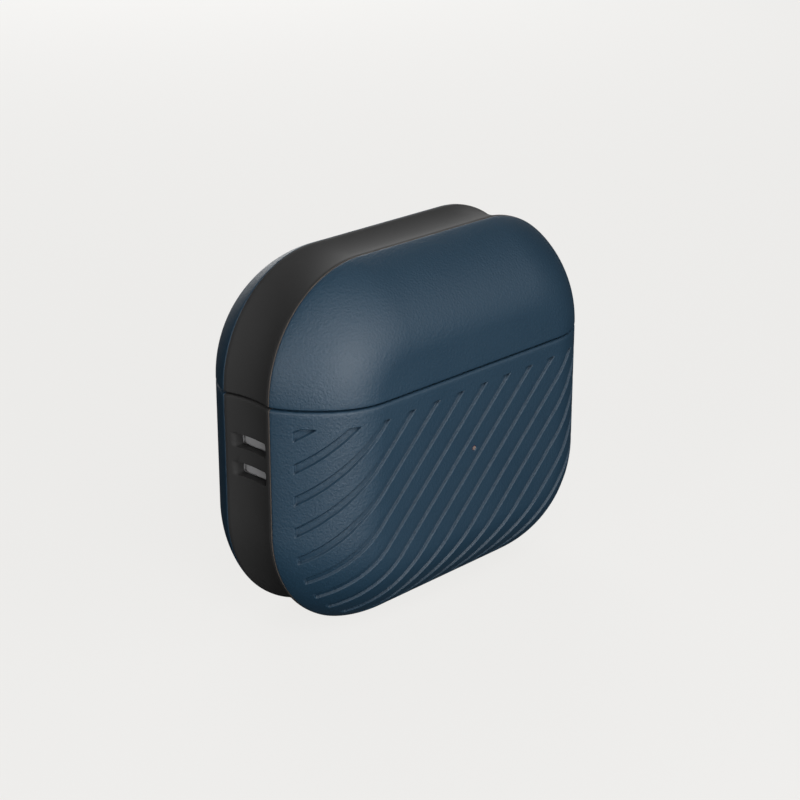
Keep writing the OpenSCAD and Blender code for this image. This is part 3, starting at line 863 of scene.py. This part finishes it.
class Look:
    """A material under construction. Coordinates are in millimetres of the object."""

    def __init__(self, name):
        self.material = bpy.data.materials.new(name)
        self.material.use_nodes = True
        self.tree = self.material.node_tree
        self.tree.nodes.clear()
        self.place = self.add("TexCoord").outputs["Object"]
        self.place = self.stretched((1 / MM, 1 / MM, 1 / MM))

    def add(self, kind, inputs=None, **settings):
        node = self.tree.nodes.new("ShaderNode" + kind)
        for key, value in settings.items():
            setattr(node, key, value)
        for key, value in (inputs or {}).items():
            if isinstance(value, bpy.types.NodeSocket):
                self.tree.links.new(value, node.inputs[key])
            else:
                node.inputs[key].default_value = value
        return node

    def noise(self, size, detail=2.0, rough=0.5, place=None):
        """Smooth noise from 0 to 1, with features about size millimetres across."""
        inputs = {"Vector": place or self.place, "Scale": 1 / size, "Detail": detail, "Roughness": rough}
        return self.add("TexNoise", inputs).outputs[0]

    def cells(self, size, feature="F1"):
        """Distance to the nearest of many scattered points, size millimetres apart."""
        inputs = {"Vector": self.place, "Scale": 1 / size}
        return self.add("TexVoronoi", inputs, feature=feature).outputs["Distance"]

    def math(self, operation, a, b=0.5, c=0.0):
        return self.add("Math", {0: a, 1: b, 2: c}, operation=operation).outputs[0]

    def ramp(self, value, low, high, to_low=0.0, to_high=1.0):
        inputs = {"Value": value, "From Min": low, "From Max": high, "To Min": to_low, "To Max": to_high}
        return self.add("MapRange", inputs).outputs[0]

    def mix(self, factor, a, b):
        """Blends two colours."""
        a, b = ((*c, 1) if isinstance(c, tuple) else c for c in (a, b))
        return self.add("Mix", {0: factor, 6: a, 7: b}, data_type="RGBA").outputs[2]

    def bump(self, height, deep):
        """A bump of deep millimetres from a height of 0 to 1."""
        return self.add("Bump", {"Height": height, "Distance": deep * MM, "Strength": 1.0}).outputs[0]

    def stretched(self, scale):
        """The place, scaled along each axis."""
        return self.add("VectorMath", {0: self.place, 1: scale}, operation="MULTIPLY").outputs[0]

    def finish(self, colour, rough, normal, **more):
        """Joins colour, roughness, bump and any other Principled inputs, and returns the material."""
        inputs = {"Base Color": colour, "Roughness": rough, "Normal": normal}
        inputs.update({key.replace("_", " "): value for key, value in more.items()})
        surface = self.add("BsdfPrincipled", inputs)
        self.add("OutputMaterial", {"Surface": surface.outputs[0]})
        return self.material


PAINTED_SHADE_REACH = 0.55  # how far from a corner the painted shade goes
PAINTED_CORNER_SHADE = (0.5, 0.96)  # how open a corner is where the painted shade is deepest, and where the painted shade ends


def shell_blue():
    """Satin blue with the fine pebble of moulded leather grain, and painted shade in its corners: darker and
    duller there.
    """
    look = Look("shell_blue_leather")
    pebble = look.cells(0.32, "SMOOTH_F1")
    fine = look.noise(0.16, 2)
    broad = look.noise(9, 3)
    grain = look.math("ADD", look.math("MULTIPLY", pebble, 0.75), look.math("MULTIPLY", fine, 0.45))
    colour = look.mix(look.ramp(broad, 0.3, 0.7), (0.0016, 0.0250, 0.0515), (0.0020, 0.0268, 0.0545))
    colour = look.mix(look.ramp(pebble, 0.15, 0.6, 0, 0.25), colour, (0.003, 0.033, 0.065))
    rough = look.math("ADD", look.ramp(fine, 0.2, 0.8, 0.57, 0.65), look.ramp(broad, 0.3, 0.7, -0.02, 0.02))
    # Painted shade: an ambient occlusion node darkens the colour and dulls the gloss in tight corners, such
    # as the grooves' feet.
    around = {"Distance": PAINTED_SHADE_REACH * MM}
    sky = look.add("AmbientOcclusion", around, samples=8, only_local=True).outputs["AO"]
    colour = look.mix(look.ramp(sky, *PAINTED_CORNER_SHADE), (0.0006, 0.0095, 0.0210), colour)
    gloss = look.ramp(sky, *PAINTED_CORNER_SHADE, 0.20, 0.80)
    return look.finish(colour, rough, look.bump(grain, 0.055), Specular_IOR_Level=gloss)


def band_black():
    """Near-black soft plastic, finely spark-textured, with a painted highlight, a lighter warm line, along
    its two lips.
    """
    look = Look("band_black_texture")
    fine = look.noise(0.11, 3, 0.6)
    broad = look.noise(7, 3)
    colour = look.mix(look.ramp(broad, 0.3, 0.7), (0.0300, 0.0298, 0.0298), (0.0326, 0.0324, 0.0324))
    # Painted highlight: a lighter warm colour on the rounded lips stands in for the light their edges catch.
    off_middle = look.math("ABSOLUTE", look.add("SeparateXYZ", {0: look.place}).outputs[1])
    lip = look.ramp(off_middle, BAND_Y - 0.16, BAND_Y - 0.06)
    colour = look.mix(lip, colour, (0.075, 0.064, 0.057))
    rough = look.ramp(fine, 0.25, 0.75, 0.72, 0.82)
    return look.finish(colour, rough, look.bump(fine, 0.010), Specular_IOR_Level=0.15)


def moulded(name, colour, rough, grain=0.25, deep=0.006, **more):
    """Moulded plastic: a faint cloudiness, an even spark texture and a slightly uneven gloss."""
    look = Look(name)
    fine = look.noise(grain, 3, 0.55)
    broad = look.noise(5, 3)
    darker = tuple(c * 0.93 for c in colour)
    tone = look.mix(look.ramp(broad, 0.3, 0.7), darker, colour)
    even = look.ramp(fine, 0.25, 0.75, rough - 0.04, rough + 0.04)
    gloss = look.math("ADD", even, look.ramp(broad, 0.3, 0.7, -0.03, 0.03))
    return look.finish(tone, gloss, look.bump(fine, deep), **more)


def brushed(name, colour, rough, scale=(0.25, 6, 6), deep=0.004):
    """Metal with a fine lay in one direction and faint stains."""
    look = Look(name)
    lay = look.noise(0.3, 3, 0.6, look.stretched(scale))
    broad = look.noise(2.5, 3)
    darker = tuple(c * 0.8 for c in colour)
    tone = look.mix(look.ramp(lay, 0.25, 0.75), darker, colour)
    even = look.ramp(lay, 0.25, 0.75, rough - 0.06, rough + 0.06)
    gloss = look.math("ADD", even, look.ramp(broad, 0.3, 0.7, -0.04, 0.04))
    return look.finish(tone, gloss, look.bump(lay, deep), Metallic=1.0)


def housing_grey():
    return moulded("housing_grey_moulded", (0.33, 0.33, 0.335), 0.5)


def deck_white():
    return moulded("deck_white_moulded", (0.70, 0.70, 0.705), 0.36, 0.18, 0.004)


def well_white():
    return moulded("well_white_moulded", (0.76, 0.76, 0.765), 0.26, 0.3, 0.002)


def contact_gold():
    return brushed("contact_gold_plate", (0.85, 0.62, 0.27), 0.22)


def flex_amber():
    """Amber film over copper tracks."""
    look = Look("flex_amber_film")
    tracks = look.add("TexWave", {"Vector": look.place, "Scale": 0.9, "Distortion": 0.0}, bands_direction="X")
    film = look.mix(look.ramp(tracks.outputs["Fac"], 0.4, 0.6), (0.30, 0.115, 0.018), (0.42, 0.20, 0.05))
    return look.finish(film, 0.3, look.bump(look.noise(0.8), 0.01), Coat_Weight=0.4)


def magnet_nickel():
    return brushed("magnet_nickel_plate", (0.66, 0.64, 0.60), 0.18, (1, 1, 1), 0.002)


def cell_foil():
    """Crinkled foil pouch."""
    look = Look("cell_foil_pouch")
    crinkle = look.noise(1.6, 4, 0.6)
    tone = look.mix(look.ramp(crinkle, 0.3, 0.7), (0.42, 0.44, 0.46), (0.60, 0.61, 0.63))
    return look.finish(tone, look.ramp(crinkle, 0.2, 0.8, 0.25, 0.4), look.bump(crinkle, 0.06), Metallic=0.9)


def foam_grey():
    """Open-cell foam."""
    look = Look("foam_grey_cells")
    pores = look.cells(0.35)
    tone = look.mix(look.ramp(pores, 0.1, 0.6), (0.075, 0.075, 0.08), (0.032, 0.032, 0.034))
    return look.finish(tone, 0.95, look.bump(pores, 0.09))


def board_green():
    """Solder mask with the pale lines of tracks under it."""
    look = Look("board_green_mask")
    cells = look.cells(1.5, "DISTANCE_TO_EDGE")
    tone = look.mix(look.ramp(cells, 0.03, 0.06), (0.020, 0.150, 0.065), (0.008, 0.082, 0.034))
    return look.finish(tone, 0.32, look.bump(look.ramp(cells, 0.03, 0.06, 1, 0), 0.01), Coat_Weight=0.3)


def chip_black():
    return moulded("chip_black_resin", (0.02, 0.02, 0.022), 0.55, 0.12, 0.008)


def screw_steel():
    return brushed("screw_steel_turned", (0.56, 0.56, 0.57), 0.3)


def switch_metal():
    return brushed("switch_metal_pressed", (0.50, 0.50, 0.49), 0.35)


def coil_copper():
    return brushed("coil_copper_enamel", (0.75, 0.33, 0.16), 0.28, (6, 0.3, 6))


def ferrite_dark():
    return moulded("ferrite_dark_sheet", (0.032, 0.033, 0.035), 0.6, 0.2, 0.012)


def port_steel():
    return brushed("port_steel_drawn", (0.60, 0.60, 0.61), 0.25, (6, 6, 0.3))


def tongue_black():
    return moulded("tongue_black_resin", (0.018, 0.018, 0.019), 0.4, 0.15, 0.004)


def seal_rubber():
    return moulded("seal_rubber_matte", (0.016, 0.016, 0.017), 0.75, 0.2, 0.01)


def light_pipe():
    """Clear resin with a milky end."""
    return moulded("light_pipe_milky", (0.22, 0.17, 0.15), 0.3, 0.1, 0.002,
                   Subsurface_Weight=0.4, Subsurface_Scale=0.4 * MM)


def led_package():
    return moulded("led_package_white", (0.75, 0.74, 0.66), 0.35, 0.15, 0.003)


def hinge_steel():
    return brushed("hinge_steel_drawn", (0.42, 0.42, 0.43), 0.34, (0.3, 6, 6))


LOOKS = {make.__name__: make for make in (
    shell_blue, band_black, housing_grey, deck_white, well_white, contact_gold, flex_amber, magnet_nickel,
    cell_foil, foam_grey, board_green, chip_black, screw_steel, switch_metal, coil_copper, ferrite_dark,
    port_steel, tongue_black, seal_rubber, light_pipe, led_package, hinge_steel)}
slot_of = {part["node"]: part["material_slot"] for part in frame["record"]["subparts"]}
materials = {slot: make() for slot, make in LOOKS.items()}
for node, placed in frame["nodes"].items():
    placed.data.materials.clear()
    placed.data.materials.append(materials[slot_of[node]])


def stand_in(piece, node):
    """A finished piece takes a CAD node's place: its body, its material slot and its material."""
    body = next(name for name, nodes in frame["record"]["behaviour"]["bodies"].items() if node in nodes)
    piece.data.materials.clear()
    piece.data.materials.append(materials[slot_of[node]])
    for face in piece.data.polygons:
        face.material_index = 0
    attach(piece, body)
    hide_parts(node)


stand_in(base_front_cover(), "base_front_shell")
stand_in(base_back_cover(), "base_back_shell")
stand_in(lid_front_cover(), "lid_front_shell")
stand_in(lid_back_cover(), "lid_back_shell")
stand_in(base_edge_band(), "base_band")
stand_in(band("lid_edge_band", LID), "lid_band")
stand_in(bud_well("left_well", -WELL_X), "left_bud_well")
stand_in(bud_well("right_well", WELL_X), "right_bud_well")
stand_in(deck_plate(), "tray_deck")
stand_in(lid_lining(), "lid_insert")
stand_in(button_cap(), "pairing_button")


# ---- Floor, lights and camera ----

FLOOR_COLOUR = (0.855, 0.847, 0.831)
FLOOR_GLOW = 0.94
FLOOR_PAPER = 0.06  # how much of the lights the floor shows
FLOOR_REACH = 3000
FLOOR_Z = -0.02  # just under the case, so that the two don't touch
WORLD_LIGHT = 0.01
WORLD_SEEN = 0.98


def floor():
    """A big pale floor: mostly even glow, with a little of the lights' own shading."""
    mesh = Mesh()
    corners = ((-1, -1), (1, -1), (1, 1), (-1, 1))
    mesh.fan(mesh.add([(x * FLOOR_REACH, y * FLOOR_REACH, FLOOR_Z) for x, y in corners]))
    made = mesh.make("floor")
    look = Look("floor_paper")
    glow = look.add("Emission", {"Color": (*FLOOR_COLOUR, 1), "Strength": FLOOR_GLOW})
    paper = look.add("BsdfDiffuse", {"Color": (FLOOR_PAPER, FLOOR_PAPER, FLOOR_PAPER, 1)})
    both = look.add("AddShader", {0: glow.outputs[0], 1: paper.outputs[0]})
    look.add("OutputMaterial", {"Surface": both.outputs[0]})
    made.data.materials.append(look.material)
    made.visible_diffuse = made.visible_glossy = False


def softbox(name, azimuth, elevation, distance, size, watts):
    """A square soft light that faces the case, sizes in metres. Azimuth 0 is in front, 90 to the right."""
    az, el = math.radians(azimuth), math.radians(elevation)
    towards = Vector((math.sin(az) * math.cos(el), -math.cos(az) * math.cos(el), math.sin(el)))
    data = bpy.data.lights.new(name, "AREA")
    data.shape = "SQUARE"
    data.size = size
    data.energy = watts
    lamp = bpy.data.objects.new(name, data)
    lamp.location = towards * distance + Vector((0, 0, HEIGHT / 2 * MM))
    lamp.rotation_euler = towards.to_track_quat("Z", "Y").to_euler()
    lamp.visible_camera = False
    bpy.context.scene.collection.objects.link(lamp)


def world(strength, seen):
    """A pale backdrop: it looks as bright as seen, and lights the case with strength."""
    sky = bpy.data.worlds.new("studio")
    sky.use_nodes = True
    nodes, links = sky.node_tree.nodes, sky.node_tree.links
    nodes["Background"].inputs["Color"].default_value = (*FLOOR_COLOUR, 1)
    level = nodes.new("ShaderNodeMapRange")
    level.inputs["To Min"].default_value = strength
    level.inputs["To Max"].default_value = seen
    links.new(nodes.new("ShaderNodeLightPath").outputs["Is Camera Ray"], level.inputs["Value"])
    links.new(level.outputs[0], nodes["Background"].inputs["Strength"])
    bpy.context.scene.world = sky


floor()
world(WORLD_LIGHT, WORLD_SEEN)
softbox("front", -27, 9, 0.26, 0.13, 0.49)
softbox("left", -83, 15, 0.406, 0.076, 0.478)
softbox("right", 13, 30, 0.26, 0.268, 0.312)
softbox("back", 144, 21, 0.582, 0.389, 2.337)
softbox("high", -35, 50, 0.285, 0.1, 0.161)

CAMERA_TURN = math.radians(-46.3)
CAMERA_RISE = math.radians(20.95)
CAMERA_AWAY = 276.5
CAMERA_ASIDE = (-0.28, 0.82)  # moved to the right and up, off the line to the case's middle
CAMERA_LENS = 89.1


def camera():
    """Looks at the case from the left of its front, from a little above."""
    back = Vector((math.sin(CAMERA_TURN) * math.cos(CAMERA_RISE),
                   -math.cos(CAMERA_TURN) * math.cos(CAMERA_RISE), math.sin(CAMERA_RISE)))
    right = Vector((math.cos(CAMERA_TURN), math.sin(CAMERA_TURN), 0))
    up = back.cross(right)
    data = bpy.data.cameras.new("camera")
    data.lens = CAMERA_LENS
    data.sensor_width = 36
    data.clip_start = 0.01
    made = bpy.data.objects.new("camera", data)
    made.location = (Vector((0, 0, HEIGHT / 2)) + back * CAMERA_AWAY
                     + right * CAMERA_ASIDE[0] + up * CAMERA_ASIDE[1]) * MM
    made.rotation_euler = (-back).to_track_quat("-Z", "Y").to_euler()
    bpy.context.scene.collection.objects.link(made)
    bpy.context.scene.camera = made


camera()
bpy.context.scene.view_settings.view_transform = "Standard"
